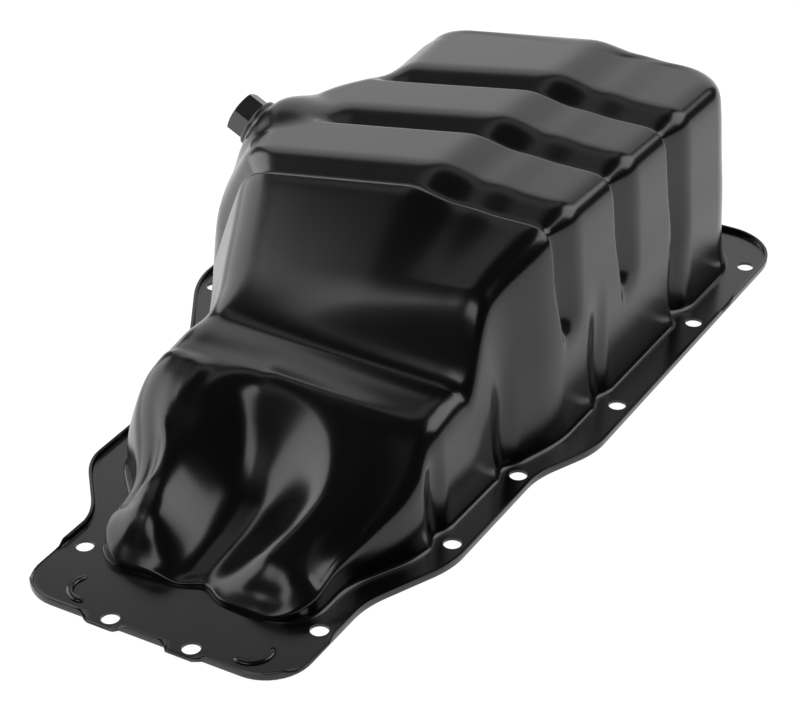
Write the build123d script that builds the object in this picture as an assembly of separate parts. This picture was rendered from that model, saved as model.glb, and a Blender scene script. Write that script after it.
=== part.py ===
from build123d import *
import math
import os

# Pressed steel engine oil pan, lying with its flange face down and its sump up.
# z = 0 is the face that meets the engine block. y = 0 is the crankshaft line,
# +y is the drain plug side. x runs along the pan, the shallow nose at -x, the
# deep sump at +x. Sizes are millimetres. At the end every piece is shifted so
# that the origin is under the middle of the whole pan.

SHEET = 1.2                    # thickness of the pressed sheet
DRAFT = math.radians(3.8)      # taper of the drawn walls
ROOT_R = 3.0                   # rounding between the flange and the walls

# flange outline: y of the outer edge along each rail
FRONT_EDGE_X = -210.4
REAR_EDGE_X = 158.5
NOSE_RAIL_Y = 58.4             # both rails beside the nose
MID_RIGHT_RAIL_Y = 74.5
SUMP_RIGHT_RAIL_Y = 86.4
MID_LEFT_RAIL_Y = 82.5
BULGE_RAIL_Y = 124.5
REAR_LEFT_RAIL_Y = 101.5
FRONT_CORNER_R = 18.0
REAR_CORNER_R = 25.0
RAIL_BEND_R = 30.0
LIP_HEIGHT = 3.2
TAB_PROUD = 1.9                # the two front tabs stand out past the lip
TAB_WIDTH = 13.5
TABS_Y = (19.0, -16.0)         # middle of each tab
LIP_GAP_X = (-202.0, -180.0)   # the lip is left out beside the nose bolts

# bolts
BOLT_HOLE_R = 3.5
FLUTE_HALF_WIDTH = 9.0         # the walls step in round each rail bolt
FLUTE_DEPTH = 2.4
FRONT_BOLT_X = -206.6
FRONT_BOLT_Y = 17.4
NOSE_BOLT_X = -176.0
NOSE_BOLT_Y = 51.2
RAIL_BOLTS_X = (-108.3, -57.4, 5.3, 78.1, 132.0)
RAIL_BOLT_EDGE = 7.6           # from the outer edge of the rail to the bolt
REAR_BOLT_X = 151.0
REAR_BOLT_Y = 40.0

# plan of the drawn walls at the flange face
NOSE_FRONT_X = -181.0
NOSE_WALL_Y = 46.5
NOSE_CORNER_R = 14.0
NOSE_FRONT_R = 9.0
FRONT_SOLID = 6.0              # the nose front is solid this far back
FRONT_WALL = 0.4
FRONT_LEAN = 0.75              # the nose front slopes back this much for its height
WEB_Z = 4.5                    # height of the scoop where it meets the nose front
MID_RIGHT_WALL_Y = 61.5
SUMP_RIGHT_WALL_Y = 72.0
MID_LEFT_WALL_Y = 70.5
SUMP_LEFT_WALL_Y = 88.0
BULGE_WALL_Y = 111.5
REAR_WALL_X = 143.5

# heights
CROWN_FRONT_Z = 98.3           # top of the sump at its front crest
CROWN_REAR_Z = 94.0
FLOOR_FALL = 0.168             # slope of the sump top towards the plug side
STEP_DROP = 3.0                # lower shoulder along the right side
CREST_Z = 68.0
CREST_FALL = 0.2
LEDGE_Z = 49.0
SCOOP_Y = 2.0                  # middle of the scoop in the nose
SCOOP_HALF = 36.0              # from its middle to its rim where it is widest
LOBE_FALL = 0.25               # slope of the lobes from the rim to the walls
SUMP_CORNER_R = 24.0
NOSE_EDGE_R = 11.0
END_R = 18.0                   # rounding of the rear end of the sump

# stiffening grooves across the sump
GROOVES_X = (-27.0, 23.0, 70.5)
GROOVE_DEPTH = 5.0
GROOVE_WIDTH = 19.0

# drain plug
PLUG_X = 31.0
PLUG_IN = 7.5                  # from the foot of the bulge in to the washer seat
PLUG_DROP = 26.7               # from the top of the sump down to the plug
PLUG_Y = BULGE_WALL_Y - PLUG_IN
PLUG_Z = CROWN_FRONT_Z + (CROWN_REAR_Z - CROWN_FRONT_Z) * (PLUG_X + 27) / 157 - PLUG_DROP
PLUG_TILT = math.radians(27.0)
SEAT_R = 15.0                  # flat land under the washer
SEAT_SKIRT = 5.2               # how far its rim runs back into the wall
HOLE_CLEARANCE = 0.3
THREAD_R = 7.0
THREAD_CLEARANCE = 0.06
NUT_ACROSS_FLATS = 22.0
NUT_HEIGHT = 9.0
WASHER_R = 11.0
WASHER_THICKNESS = 1.6
PLUG_FLANGE_R = 10.8
PLUG_FLANGE_THICKNESS = 2.2
HEX_ACROSS_FLATS = 17.0
HEX_HEIGHT = 8.0
PLUG_LENGTH = 14.0

# middle of the whole pan, moved to the origin at the end
CENTRE_X = (FRONT_EDGE_X - TAB_PROUD + REAR_EDGE_X) / 2
CENTRE_Y = (BULGE_RAIL_Y - SUMP_RIGHT_RAIL_Y) / 2


def soft(d, h):
    # zero before a bend, d after it, and a parabola over the h either side
    if d <= -h:
        return 0.0
    if d >= h:
        return d
    return (d + h) ** 2 / (4 * h)


def bent(x, points):
    # height at x of a line through points (x, height, half length of bend)
    x0, z0 = points[0][0], points[0][1]
    x1, z1 = points[1][0], points[1][1]
    slope = (z1 - z0) / (x1 - x0)
    value = z0 + slope * (x - x0)
    for here, ahead in zip(points[1:], points[2:]):
        new = (ahead[1] - here[1]) / (ahead[0] - here[0])
        value += (new - slope) * soft(x - here[0], here[2])
        slope = new
    return value


def ramp(x, start, end):
    t = min(max((x - start) / (end - start), 0.0), 1.0)
    return t * t * (3 - 2 * t)


def wall_right(x):
    y = bent(x, ((-200, NOSE_WALL_Y, 0), (-150, NOSE_WALL_Y, 8),
                 (-122, MID_RIGHT_WALL_Y - 0.5, 8), (-56, MID_RIGHT_WALL_Y + 0.5, 8),
                 (-30, SUMP_RIGHT_WALL_Y - 1, 8), (200, SUMP_RIGHT_WALL_Y + 1, 0)))
    return y - nose_corner(x)


def wall_left(x):
    y = bent(x, ((-200, NOSE_WALL_Y, 0), (-150, NOSE_WALL_Y, 8),
                 (-124, MID_LEFT_WALL_Y, 8), (-70, MID_LEFT_WALL_Y, 8),
                 (-38, SUMP_LEFT_WALL_Y, 8), (0, BULGE_WALL_Y, 10),
                 (60, BULGE_WALL_Y, 10), (84, SUMP_LEFT_WALL_Y, 10),
                 (200, SUMP_LEFT_WALL_Y, 0)))
    return y - nose_corner(x)


def nose_corner(x):
    # rounds the plan of the nose at its front corners
    past = min(max(NOSE_FRONT_X + NOSE_CORNER_R - x, 0.0), NOSE_CORNER_R)
    return NOSE_CORNER_R - math.sqrt(NOSE_CORNER_R ** 2 - past ** 2)


def scoop_rim(x, side):
    # from the middle of the scoop to its rim
    if side > 0:
        return bent(-x, ((90, 16, 0), (108, 16, 4), (124, SCOOP_HALF - 7, 6), (138, SCOOP_HALF, 6),
                         (150, SCOOP_HALF - 5, 5), (160, SCOOP_HALF - 11, 5), (181, 12, 0)))
    return bent(-x, ((90, 16, 0), (104, 18, 4), (118, SCOOP_HALF - 3, 5), (133, SCOOP_HALF + 1, 7),
                     (146, SCOOP_HALF - 5, 7), (162, SCOOP_HALF - 11, 5), (181, 12, 0)))


def lobe_height(x, side):
    # top of the rim beside the scoop
    if side > 0:
        return bent(-x, ((78, LEDGE_Z, 0), (110, LEDGE_Z, 8), (126, 42, 6), (138, 31, 6),
                         (150, 21, 5), (165, 17, 5), (181, 15, 0)))
    return bent(-x, ((78, LEDGE_Z, 0), (108, LEDGE_Z, 8), (133, 30, 6), (146, 23, 6),
                     (165, 18, 5), (181, 15, 0)))


def top_height(x, y):
    crown = CROWN_FRONT_Z + (CROWN_REAR_Z - CROWN_FRONT_Z) * (x + 27) / 157
    sump = crown - FLOOR_FALL * soft(y + 3, 5)
    sump -= STEP_DROP * ramp(-y, 3, 24) - 0.8 * ramp(-y, 28, 42)
    crest = CREST_Z - CREST_FALL * y
    if x > -90:
        return bent(-x, ((0, sump, 0), (27, sump, 6), (65, crest, 6), (78, LEDGE_Z, 4),
                         (106, LEDGE_Z, 0)))
    out = abs(y - SCOOP_Y)
    side = 1 if y > SCOOP_Y else -1
    rim = scoop_rim(x, side)
    valley = bent(-x, ((90, LEDGE_Z, 0), (100, LEDGE_Z, 7), (128, 15, 10),
                       (160, 7, 8), (181, WEB_Z, 0)))
    lobe = lobe_height(x, side)
    lobe -= LOBE_FALL * soft(out - rim - 4, 4) * ramp(-x, 96, 116) * (1 - ramp(-x, 150, 170))
    past = min(max(NOSE_FRONT_X + NOSE_FRONT_R - x, 0.0), NOSE_FRONT_R)
    keep = 1 - 0.4 * (1 - math.sqrt(1 - (past / NOSE_FRONT_R) ** 2))
    return keep * (valley + (lobe - valley) * ramp(out, 0, rim))


def round_corner(before, corner, after, radius, steps):
    # points of the arc that rounds a corner, its radius limited by both sides
    ax, ay = before[0] - corner[0], before[1] - corner[1]
    bx, by = after[0] - corner[0], after[1] - corner[1]
    la, lb = math.hypot(ax, ay), math.hypot(bx, by)
    cosine = max(-1.0, min(1.0, (ax * bx + ay * by) / (la * lb)))
    turn = math.pi - math.acos(cosine)
    cut = max(radius * math.tan(turn / 2), 0.25 * min(la, lb))
    cut = min(cut, 0.48 * la, 0.48 * lb)
    points = []
    for i in range(steps + 1):
        t = i / steps
        u, v = (1 - t) ** 2, t ** 2
        px = corner[0] + ax / la * cut * u + bx / lb * cut * v
        py = corner[1] + ay / la * cut * u + by / lb * cut * v
        points.append((px, py))
    return points


def side_line(x, side, shrink):
    # wall foot, bend in the wall, edge of the top and a point on the top
    foot = (wall_left(x) if side > 0 else wall_right(x)) - shrink
    lean = math.tan(DRAFT)
    edge_z = top_height(x, side * foot) - shrink
    for _ in range(3):
        edge_y = foot - edge_z * lean
        if side > 0:
            edge_y -= bent(x, LEFT_SHOULDER_IN)
        edge_z = top_height(x, side * edge_y) - shrink
    fall = bent(x, LEFT_SHOULDER_FALL) if side > 0 else 0.45 * edge_z
    bend_z = edge_z - min(fall, 0.6 * edge_z)
    bend_y = foot - bend_z * lean
    inner_y = edge_y - 22
    inner = (side * inner_y, top_height(x, side * inner_y) - shrink)
    return (side * foot, 0.0), (side * bend_y, bend_z), (side * edge_y, edge_z), inner


def side_points(x, side, shrink):
    foot, bend, edge, inner = side_line(x, side, shrink)
    tall = min(1.0, edge[1] / 60)
    if side > 0:
        edge_r = NOSE_EDGE_R + (bent(x, LEFT_EDGE_R) - NOSE_EDGE_R) * tall
    else:
        edge_r = NOSE_EDGE_R + (SUMP_CORNER_R - NOSE_EDGE_R) * tall
    low = round_corner(foot, bend, edge, 14.0 + 10.0 * tall, 2)
    high = round_corner(bend, edge, inner, edge_r, 5)
    lean = (low[0][0] - foot[0]) / low[0][1]
    root = min(ROOT_R, 0.7 * (low[0][1] - SHEET))
    wall = []
    for out, up in ((1.0, 0.0), (0.29, 0.29), (0.0, 1.0)):
        z = SHEET + root * up
        wall.append((foot[0] + lean * z + side * root * out, z))
    return wall + low + high


LEFT_SHOULDER_IN = ((-200, 0.0, 0), (-84, 0.0, 8), (-45, 12.0, 8), (-20, 14.0, 6),
                    (18, 11.0, 6), (200, 11.0, 0))
LEFT_SHOULDER_FALL = ((-200, 20.0, 0), (-84, 20.0, 8), (-34, 58.0, 6), (8, 28.0, 6),
                      (60, 28.0, 6), (84, 22.0, 0))
LEFT_EDGE_R = ((-200, 14.0, 0), (-84, 14.0, 8), (-40, 26.0, 6), (-5, 24.0, 6),
               (20, 12.0, 6), (52, 12.0, 6), (80, 26.0, 8), (200, 26.0, 0))
TOP_STEPS = 10


def outline(x, shrink):
    # (y, z) points of the bare drawn shape, from the right foot to the left
    right = side_points(x, -1, shrink)
    left = side_points(x, 1, shrink)
    start, end = right[-1][0], left[-1][0]
    top = []
    for i in range(1, TOP_STEPS):
        y = start + (end - start) * i / TOP_STEPS
        top.append((y, top_height(x, y) - shrink))
    return right + top + left[::-1]


def normals(points):
    # unit normals that point out of the pan
    result = []
    for i in range(len(points)):
        a = points[max(i - 1, 0)]
        b = points[min(i + 1, len(points) - 1)]
        length = math.hypot(b[0] - a[0], b[1] - a[1])
        result.append(((a[1] - b[1]) / length, (b[0] - a[0]) / length))
    return result


def groove_depth(x, y, z):
    deep = 0.0
    for start in GROOVES_X:
        shape = bent(x - start, ((-5, 0, 0), (0, 0, 1.2), (4, GROOVE_DEPTH, 1.6),
                                 (7, GROOVE_DEPTH, 1.6), (GROOVE_WIDTH, 0, 4), (60, 0, 0)))
        if y < 0:
            shape *= ramp(z, 38, 52)
        elif start != GROOVES_X[0]:
            shape *= 1 - ramp(y, 60, 76)
        else:
            shape *= ramp(z, 30, 50)
        deep += shape
    return deep


def flute_depth(x, z):
    deep = 0.0
    for bolt in RAIL_BOLTS_X[:-1]:
        off = abs(x - bolt) / FLUTE_HALF_WIDTH
        if off < 1:
            deep += FLUTE_DEPTH * math.cos(off * math.pi / 2) ** 2 * (1 - ramp(z, 10, 60))
    return deep


def surface_line(x, inset):
    # (y, z) points across the pan on its outer face, or inset into the sheet
    past = max(x - (REAR_WALL_X - END_R), 0.0)
    radius = END_R - inset
    shrink = END_R - math.sqrt(max(radius ** 2 - past ** 2, 0.0)) - inset
    points = outline(x, shrink)
    ahead, behind = outline(x + 0.2, shrink), outline(x - 0.2, shrink)
    line = []
    for p, n, a, b in zip(points, normals(points), ahead, behind):
        rise = ((a[0] - b[0]) * n[0] + (a[1] - b[1]) * n[1]) / 0.4
        depth = inset * math.sqrt(1 + min(rise, 2.5) ** 2)
        depth += groove_depth(x, p[0], p[1])
        step = flute_depth(x, p[1]) if abs(n[0]) > 0.3 else 0.0
        step = math.copysign(step, p[0])
        line.append((p[0] - n[0] * depth - step, p[1] - n[1] * depth))
    foot_step = flute_depth(x, 0)
    line[0] = (points[0][0] + foot_step, SHEET - inset)
    line[-1] = (points[-1][0] - foot_step, SHEET - inset)
    return line


def placed(x, line):
    lean = math.tan(DRAFT) * ramp(x, 60, REAR_WALL_X)
    lean -= FRONT_LEAN * ramp(-x, 125, -NOSE_FRONT_X)
    return [Vector(x - lean * z, y, z) for y, z in line]


def rail_edges(x):
    # outer edge of each rail and the inner face of its lip
    edges = []
    for rail, side in ((rail_right, -1), (rail_left, 1)):
        slope = (rail(x + 0.5) - rail(x - 0.5)) / 1.0
        edge = rail(x)
        edges.append((side * edge, side * (edge - SHEET * math.hypot(1, slope))))
    return edges


def sheet_section(x):
    # closed wire round the cut sheet at x: lip, flange, drawn shape, flange, lip
    outside = surface_line(x, 0.0)
    inside = surface_line(x, SHEET)
    (right, right_in), (left, left_in) = rail_edges(x)
    start = placed(x, [(right, 0), (right, LIP_HEIGHT), (right_in, LIP_HEIGHT),
                       (right_in, SHEET), outside[0]])
    end = placed(x, [outside[-1], (left_in, SHEET), (left_in, LIP_HEIGHT),
                     (left, LIP_HEIGHT), (left, 0), inside[-1]])
    over, under = placed(x, outside), placed(x, inside)
    edges = [Line(a, b) for a, b in zip(start, start[1:])]
    edges.append(Spline(*over))
    edges += [Line(a, b) for a, b in zip(end, end[1:])]
    edges.append(Spline(*under[::-1]))
    edges.append(Line(under[0], start[0]))
    return Wire(edges)


def full_section(x):
    # the same without the hollow, for the front and rear ends
    outside = surface_line(x, 0.0)
    (right, right_in), (left, left_in) = rail_edges(x)
    start = placed(x, [(right, 0), (right, LIP_HEIGHT), (right_in, LIP_HEIGHT),
                       (right_in, SHEET), outside[0]])
    end = placed(x, [outside[-1], (left_in, SHEET), (left_in, LIP_HEIGHT),
                     (left, LIP_HEIGHT), (left, 0)])
    edges = [Line(a, b) for a, b in zip(start, start[1:])]
    edges.append(Spline(*placed(x, outside)))
    edges += [Line(a, b) for a, b in zip(end, end[1:])]
    edges.append(Line(end[-1], start[0]))
    return Wire(edges)


def stations():
    # places along the pan: even, and closer where the shape changes quickly
    places = set()
    last = REAR_WALL_X - END_R
    front = NOSE_FRONT_X + NOSE_CORNER_R
    for i in range(5):
        places.add(front - (NOSE_CORNER_R - FRONT_SOLID) * math.sin(i * math.pi / 8))
    x = front + 5.0
    while x < last:
        places.add(x)
        x += 7.0
    for start in GROOVES_X:
        places = {p for p in places if not start - 3 < p < start + GROOVE_WIDTH + 5}
        for step in (-2, 0, 2, 4, 7, 11, 15, GROOVE_WIDTH, 23):
            places.add(start + step)
    for bolt in RAIL_BOLTS_X[:-1]:
        if any(start - 3 < bolt < start + GROOVE_WIDTH + 5 for start in GROOVES_X):
            continue
        places = {p for p in places if not bolt - 10 < p < bolt + 10}
        for step in (-9, -4.5, 0, 4.5, 9):
            places.add(bolt + step)
    places = {p for p in places if p < last - 1}
    inner_r = END_R - SHEET
    for i in range(5):
        places.add(last + inner_r * math.sin(i * math.pi / 8))
    return sorted(places)


def drawn_shell():
    places = stations()
    tube = Solid.make_loft([sheet_section(x) for x in places], ruled=True)
    ends = (REAR_WALL_X - SHEET, REAR_WALL_X)
    rear = Solid.make_loft([full_section(x) for x in ends], ruled=True)
    ends = (NOSE_FRONT_X + FRONT_WALL, NOSE_FRONT_X + FRONT_SOLID)
    front = Solid.make_loft([full_section(x) for x in ends], ruled=True)
    return tube, rear, front


def bolt_places():
    # centres of all the bolt holes, in pairs across the pan
    pairs = [(FRONT_BOLT_X, FRONT_BOLT_Y, -FRONT_BOLT_Y),
             (NOSE_BOLT_X, NOSE_BOLT_Y, -NOSE_BOLT_Y)]
    for x in RAIL_BOLTS_X:
        pairs.append((x, rail_left(x) - RAIL_BOLT_EDGE, -(rail_right(x) - RAIL_BOLT_EDGE)))
    pairs.append((REAR_BOLT_X, REAR_BOLT_Y, -REAR_BOLT_Y))
    return pairs


def rail_right(x):
    return bent(x, RIGHT_RAIL) - rear_corner(x)


def rail_left(x):
    return bent(x, LEFT_RAIL) - rear_corner(x)


def rear_corner(x):
    # rounds the plan of the flange at its rear corners
    past = min(max(x - REAR_EDGE_X + REAR_CORNER_R, 0.0), REAR_CORNER_R)
    return REAR_CORNER_R - math.sqrt(REAR_CORNER_R ** 2 - past ** 2)


RIGHT_RAIL = ((FRONT_EDGE_X, NOSE_RAIL_Y, 0), (-156, NOSE_RAIL_Y, 8),
              (-121, MID_RIGHT_RAIL_Y, 8), (-55, MID_RIGHT_RAIL_Y, 8),
              (-29, SUMP_RIGHT_RAIL_Y, 8), (REAR_EDGE_X, SUMP_RIGHT_RAIL_Y, 0))
LEFT_RAIL = ((FRONT_EDGE_X, NOSE_RAIL_Y + 1, 0), (-160, NOSE_RAIL_Y + 1, 8),
             (-132, MID_LEFT_RAIL_Y, 8), (-72, MID_LEFT_RAIL_Y, 8),
             (-34, REAR_LEFT_RAIL_Y, 8), (4, BULGE_RAIL_Y, 12),
             (64, BULGE_RAIL_Y, 10), (92, REAR_LEFT_RAIL_Y, 10),
             (REAR_EDGE_X, REAR_LEFT_RAIL_Y, 0))


def end_outline(edge_x, inner_x, corner_r, inset):
    # three sided edge of one end of the flange
    step = inset if edge_x < inner_x else -inset
    right = -(bent(edge_x, RIGHT_RAIL) - inset)
    left = bent(edge_x, LEFT_RAIL) - inset
    edge = edge_x + step
    bend = FilletPolyline((inner_x, right), (edge, right), (edge, left), (inner_x, left),
                          radius=corner_r - inset)
    return Face(Wire([*bend.edges(), Line((inner_x, left), (inner_x, right))]))


def end_plate(edge_x, cut_x, corner_r):
    # flat end of the flange with its lip, cut where the long section begins
    inner_x = cut_x + (10 if edge_x < cut_x else -20)
    up = Vector(0, 0, 1)
    plate = extrude(end_outline(edge_x, inner_x, corner_r, 0), LIP_HEIGHT, dir=up)
    recess = extrude(end_outline(edge_x, inner_x, corner_r, SHEET), LIP_HEIGHT, dir=up)
    plate = plate - recess.moved(Location((0, 0, SHEET)))
    low, high = placed(cut_x, [(0, 0), (0, 100)])
    away = Plane(origin=low, x_dir=(0, 1, 0), z_dir=(high - low).cross(Vector(0, 1, 0)))
    keep = Keep.BOTTOM if (away.z_dir.X > 0) == (edge_x < cut_x) else Keep.TOP
    return split(plate, bisect_by=away, keep=keep)


def front_plate(cut_x):
    plate = end_plate(FRONT_EDGE_X, cut_x, FRONT_CORNER_R)
    for y in TABS_Y:
        tab = Box(10, TAB_WIDTH, SHEET)
        plate = plate + tab.moved(Location((FRONT_EDGE_X - TAB_PROUD + 5, y, SHEET / 2)))
        gap = Box(4 * SHEET, TAB_WIDTH, LIP_HEIGHT)
        plate = plate - gap.moved(Location((FRONT_EDGE_X, y, SHEET + LIP_HEIGHT / 2)))
    return plate


def lip_gaps():
    length = LIP_GAP_X[1] - LIP_GAP_X[0]
    middle = (LIP_GAP_X[1] + LIP_GAP_X[0]) / 2
    gaps = []
    for y in (-rail_right(middle), rail_left(middle)):
        gap = Box(length, 4 * SHEET, LIP_HEIGHT)
        gaps.append(gap.moved(Location((middle, y, SHEET + LIP_HEIGHT / 2))))
    return gaps


def bolt_holes():
    holes = []
    for x, left, right in bolt_places():
        for y in (left, right):
            hole = Cylinder(BOLT_HOLE_R, 4 * LIP_HEIGHT)
            holes.append(hole.moved(Location((x, y, 0))))
    return holes


def on_plug_axis(shape):
    # z of the shape becomes the plug axis, its z = 0 the outer face of the seat
    tilt = math.degrees(PLUG_TILT)
    return shape.moved(Location((PLUG_X, PLUG_Y, PLUG_Z), (tilt - 90, 0, 0)))


def seat_pad():
    # flat land for the washer, with a drawn rim that runs back into the wall
    outer = Cone(SEAT_R + SEAT_SKIRT, SEAT_R, SEAT_SKIRT)
    outer = outer.moved(Location((0, 0, -SEAT_SKIRT / 2)))
    inner = outer.moved(Location((0, 0, -SHEET)))
    return on_plug_axis(outer), on_plug_axis(inner)


def drain_hole():
    hole = Cylinder(THREAD_R + HOLE_CLEARANCE, 20)
    return on_plug_axis(hole)


def weld_nut():
    nut = extrude(RegularPolygon(NUT_ACROSS_FLATS / 2, 6, major_radius=False), amount=NUT_HEIGHT)
    bore = Cylinder(THREAD_R + THREAD_CLEARANCE, 4 * NUT_HEIGHT)
    return on_plug_axis((nut - bore).moved(Location((0, 0, -SHEET - NUT_HEIGHT))))


def washer():
    ring = Cylinder(WASHER_R, WASHER_THICKNESS) - Cylinder(THREAD_R + HOLE_CLEARANCE, 9)
    return on_plug_axis(ring.moved(Location((0, 0, WASHER_THICKNESS / 2))))


def plug():
    face = WASHER_THICKNESS
    collar = Cylinder(PLUG_FLANGE_R, PLUG_FLANGE_THICKNESS)
    collar = collar.moved(Location((0, 0, face + PLUG_FLANGE_THICKNESS / 2)))
    head = extrude(RegularPolygon(HEX_ACROSS_FLATS / 2, 6, major_radius=False),
                   amount=PLUG_FLANGE_THICKNESS + HEX_HEIGHT)
    head = head.moved(Location((0, 0, face)))
    corner_r = HEX_ACROSS_FLATS / math.sqrt(3)
    top = face + PLUG_FLANGE_THICKNESS + HEX_HEIGHT
    dome = Cone(corner_r + 14, corner_r - 1.4, 20).moved(Location((0, 0, top - 10)))
    shank = Cylinder(THREAD_R, PLUG_LENGTH)
    shank = shank.moved(Location((0, 0, face - PLUG_LENGTH / 2)))
    return on_plug_axis(collar + (head & dome) + shank)


def pan_shell():
    tube, rear, front = drawn_shell()
    shell = tube + front + rear
    shell = shell + front_plate(NOSE_FRONT_X + FRONT_WALL)
    shell = shell + end_plate(REAR_EDGE_X, REAR_WALL_X, REAR_CORNER_R)
    pad, behind_pad = seat_pad()
    shell = shell + pad - behind_pad - drain_hole()
    return shell - bolt_holes() - lip_gaps()


pieces = {
    "pan_shell": pan_shell(),
    "drain_weld_nut": weld_nut(),
    "drain_plug": plug(),
    "drain_plug_washer": washer(),
}

os.makedirs("parts", exist_ok=True)
for name, piece in pieces.items():
    piece = piece.moved(Location((-CENTRE_X, -CENTRE_Y, 0)))
    export_step(piece, f"parts/{name}.step")
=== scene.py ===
import math

import bmesh
import bpy
import numpy as np
from mathutils import Matrix, Vector


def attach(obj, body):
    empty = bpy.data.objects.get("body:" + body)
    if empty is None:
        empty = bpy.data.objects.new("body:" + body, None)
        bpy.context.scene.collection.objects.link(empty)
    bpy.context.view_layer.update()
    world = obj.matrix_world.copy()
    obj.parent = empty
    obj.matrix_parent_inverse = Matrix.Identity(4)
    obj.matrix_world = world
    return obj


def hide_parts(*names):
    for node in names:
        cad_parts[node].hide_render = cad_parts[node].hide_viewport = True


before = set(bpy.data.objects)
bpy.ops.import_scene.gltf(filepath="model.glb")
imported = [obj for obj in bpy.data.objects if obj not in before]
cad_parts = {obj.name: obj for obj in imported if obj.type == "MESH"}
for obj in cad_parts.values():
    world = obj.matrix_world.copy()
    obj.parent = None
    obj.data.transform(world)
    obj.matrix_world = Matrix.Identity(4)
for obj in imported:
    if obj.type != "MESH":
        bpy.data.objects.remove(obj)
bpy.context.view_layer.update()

# Pressed steel oil pan of a small car engine, lying on its flange face, with its
# drain plug and crush washer.

# ---------------------------------------------------------------- sizes, mm
# x runs along the pan towards the deep end, y = 0 is the crankshaft line and
# +y the drain plug side, z = 0 the face that meets the engine block.
SHEET = 1.2                             # thickness of the steel
LEAN = math.tan(math.radians(3.8))      # taper of the drawn walls
# flange and its turned-up lip
FRONT_EDGE_X, REAR_EDGE_X = -210.4, 158.5
LEFT_EDGE_Y, RIGHT_EDGE_Y = 124.5, 86.4  # widest places, each measured outwards
FRONT_CORNER_R, REAR_CORNER_R = 18.0, 25.0
LIP_HEIGHT = 3.2
LIP_GAP_FRONT = (-191.0, 11.0)          # middle and half length of the gaps in the lip
LIP_GAP_RIGHT = (95.0, 5.0)
LIP_FADE = 1.5
# section of the edge, from the face below out, up the lip and down to the flange:
# (step in from the edge, height, share of the lip's height added to it)
LIP_SECTION = ((0.9, 0.0, 0), (0.25, 0.22, 0), (0.0, 0.9, 0), (0.0, SHEET - 0.15, 1),
               (0.15, SHEET, 1), (SHEET - 0.2, SHEET, 1), (SHEET, SHEET - 0.12, 1),
               (SHEET + 0.05, SHEET, 0.25), (SHEET + 0.3, SHEET, 0.06),
               (SHEET + 0.9, SHEET, 0))
TAB_PROUD, TAB_WIDTH = 1.9, 13.5        # two tabs on the front edge
TABS_Y = (19.0, -16.0)
BOLT_HOLE_R, BOLT_CUT_L, HOLE_SIDES = 3.5, 16, 48
RAIL_BOLTS_X = (-108.3, -57.4, 5.3, 78.1, 132.0)
RAIL_BOLT_IN = 7.6                      # their centres from the edge of the rail
END_BOLTS = ((-206.6, 17.4), (-206.6, -17.4), (-176.0, 51.2), (-176.0, -51.2),
             (151.0, 40.0), (151.0, -40.0))
BEAD_PLACES = ((-196.3, 33.7, 43, 199), (-196.8, -36.4, 156, 308))
BEAD_ARC_R = 7.4                        # crescent beads: x, y, first and last angle
BEAD_R, BEAD_Z, BEAD_FLATNESS = 1.5, 1.13, 0.7
# walls
ROOT_R = 2.2                            # fillet at the foot of the walls
FLUTE_HALF_WIDTH, FLUTE_DEPTH = 9.0, 2.4  # where the walls clear the rail bolts
FLUTE_TOP_Z = (10, 60)                  # between these the flutes fade out
NOSE_X, NOSE_CORNER_R = -181.0, 16.0
NOSE_DENTS = ((5.0, -2, 7), (1.0, 14, 9))  # foot of the nose: depth, y, half width
REAR_WALL_X, REAR_WALL_CORNER_R = 143.5, 25.0
# top
CROWN_FRONT_X, CROWN_LENGTH = -27, 157
CROWN_FRONT_Z, CROWN_REAR_Z = 97.9, 94.0
LEFT_FALL, LEFT_FALL_Y = 0.168, -3      # slope of the crown, and where it begins
RIGHT_STEPS = ((3.0, 3, 24), (0.8, 28, 42))  # drops, and from where to where
CREST_Z, CREST_FALL, LEDGE_Z = 68.0, 0.2, 49.0
SLOPE_TOP_X, CREST_X, LEDGE_X = -27, -65, -78  # the front slope and its foot
NOSE_BLEND_X = (-88, -100)              # the ledge goes over into the nose
NOSE_FLOOR = SHEET + 0.5                # lowest the nose's outer face may come
LOWEST_TOP = SHEET + 0.7                # and the lowest a wall may end
GROOVES_X = (-27.0, 23.0, 70.5)
GROOVES_LOW_Z = (44, 40, 30)            # how far down the right wall they run
GROOVES_HIGH_Z = 74                     # below it they narrow
GROOVE_NARROWING = 4.0                  # by this at their lower ends
REAR_GROOVE_FOOT = 0.55                 # share of its depth down to the flange
LEFT_GROOVE_Z = (30, 50)                # the front groove fades down the left wall
LEFT_GROOVE_Y = (60, 76)                # and the others on the way to the bulge
GROOVE_DEPTH, GROOVE_WIDTH = 5.0, 19.0
# across a groove: (place, depth, half length of the bend)
GROOVE_SECTION = ((-5, 0, 0), (0, 0, 1.0), (3.5, GROOVE_DEPTH, 1.5),
                  (7, GROOVE_DEPTH, 1.6), (GROOVE_WIDTH, 0, 4), (60, 0, 0))
SPINE_Y, SPINE_ENDS_X = 2.0, (-150, 96)  # line where the section lines meet
TURN_IN, TURN_BLEND = 8.0, 5.0          # where section lines turn towards it
# drain plug, M14 x 1.5, and what it sits on
PLUG = (31.0, 104.0, 70.0)              # middle of the land under the washer
PLUG_TILT = math.radians(27.0)
PLUG_AXIS = (0, math.cos(PLUG_TILT), math.sin(PLUG_TILT))
SEAT_R, SEAT_BLEND, SEAT_REACH = 13.5, 14.0, 24.0
THREAD_R, PITCH, SHANK_L = 7.0, 1.5, 14.0
THREAD_DEPTH = 0.92
HOLE_CLEARANCE, DRAIN_CUT_L = 0.3, 40
WASHER_R, WASHER_T = 11.0, 1.6
COLLAR_R, COLLAR_T = 10.8, 2.2
HEX_FLATS, HEX_H = 17.0, 8.0
TURNED_SIDES = 96
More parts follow.
